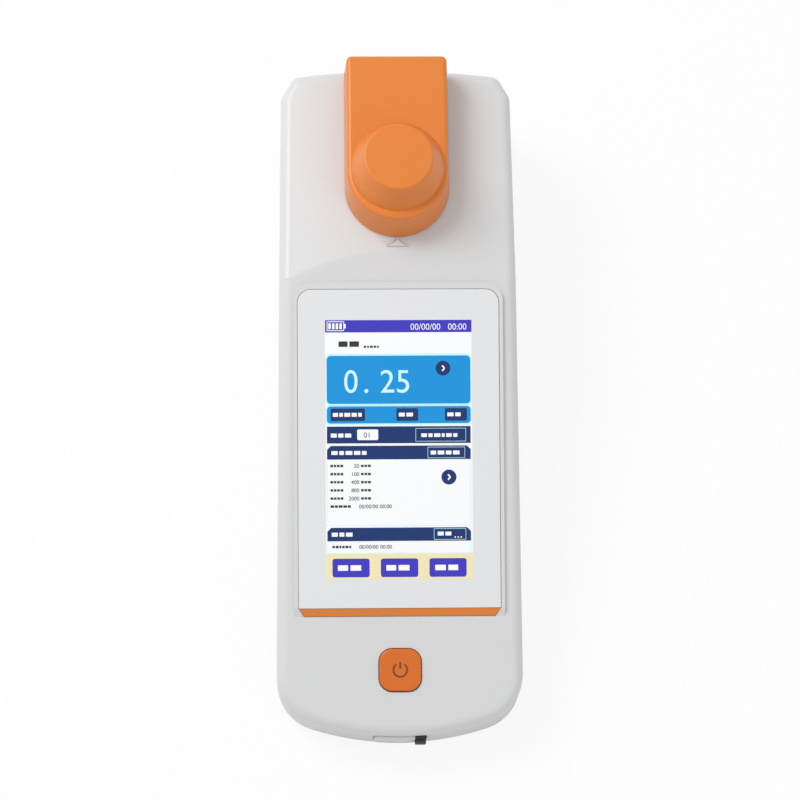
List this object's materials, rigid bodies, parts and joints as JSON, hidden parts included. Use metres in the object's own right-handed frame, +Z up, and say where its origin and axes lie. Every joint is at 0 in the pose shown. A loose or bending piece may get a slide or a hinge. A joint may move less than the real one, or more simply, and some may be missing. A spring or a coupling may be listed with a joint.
{
  "type": "portable turbidity meter",
  "caption": "Hand-held turbidity meter: wedge-shaped pale housing, portrait colour display, round power button, and an orange hinged lid with a round knob over the sample vial well.",
  "frame": {"origin": "under the middle of the meter's length and width, on the surface its feet rest on", "axes": "+X to the user's right as they read the display, +Y from the user's end to the lid, +Z up"},
  "size_m": [0.0904, 0.2476, 0.0861],
  "materials": {
    "housing_white": "light grey-white moulded housing with a fine satin texture",
    "accent_orange": "orange moulded plastic, satin",
    "lens_white": "smooth white printed cover lens, semi-gloss",
    "screen_glass": "dark glass of the colour display",
    "black_plastic": "black moulded light-proof plastic",
    "black_rubber": "black soft rubber",
    "grey_seal": "grey foam or silicone seal",
    "steel": "plain zinc-plated or stainless steel",
    "brass": "turned brass",
    "board_green": "green lacquered circuit board",
    "chip_black": "black moulded component bodies",
    "ribbon_amber": "amber flexible flat cable",
    "cell_wrap": "blue shrink wrap of a rechargeable cell",
    "optic_glass": "clear optical glass",
    "lamp_clear": "clear epoxy lamp dome"
  },
  "bodies": {
    "housing": {"top_cover": "housing_white", "base_cover": "housing_white", "case_seal": "grey_seal", "rubber_feet": "black_rubber", "battery_door": "housing_white", "battery_cells": "cell_wrap", "battery_contacts": "steel", "door_screws": "steel", "threaded_inserts": "brass", "case_screws": "steel", "screen_lens": "lens_white", "lens_tape": "chip_black", "accent_strip": "accent_orange", "display_module": "screen_glass", "display_bracket": "steel", "bracket_screws": "steel", "display_ribbon": "ribbon_amber", "button_board": "board_green", "button_switch": "chip_black", "button_board_screws": "steel", "main_board": "board_green", "main_board_screws": "steel", "board_chips": "chip_black", "board_connectors": "lens_white", "buzzer": "chip_black", "usb_socket": "steel", "sensor_ribbon": "ribbon_amber", "vial_well": "black_plastic", "well_collar": "black_plastic", "well_seal": "grey_seal", "well_screws": "steel", "lamp": "lamp_clear", "lamp_lens": "optic_glass", "lamp_board": "board_green", "through_detector": "steel", "through_board": "board_green", "scatter_detector": "steel", "scatter_lens": "optic_glass", "scatter_board": "board_green", "optics_screws": "steel", "preamp_board": "board_green", "preamp_connector": "lens_white", "catch_disc": "steel", "flap_anchor": "black_rubber"},
    "lid_body": {"lid": "accent_orange", "hinge_pin": "steel", "lid_liner": "black_plastic", "lid_seal": "grey_seal", "lid_magnet": "steel"},
    "button_body": {"power_button": "accent_orange"},
    "flap_body": {"port_flap": "black_rubber"}
  },
  "joints": [
    {"name": "lid_hinge", "type": "hinge", "parent": "housing", "child": "lid_body", "pos_m": [0, 0.11855, 0.0652], "axis": [-1, 0, 0], "range_deg": [0, 105]},
    {"name": "power_button_travel", "type": "slide", "parent": "housing", "child": "button_body", "axis": [0, 0.2249, -0.9744], "range_m": [0, 0.0008], "stiffness_N_per_m": 1500, "springref_m": -0.0004},
    {"name": "port_flap_hinge", "type": "hinge", "parent": "housing", "child": "flap_body", "pos_m": [-0.0096, -0.12235, 0.0126], "axis": [0, 0, -1], "range_deg": [0, 100], "stiffness_Nm_per_rad": 0.001}
  ]
}
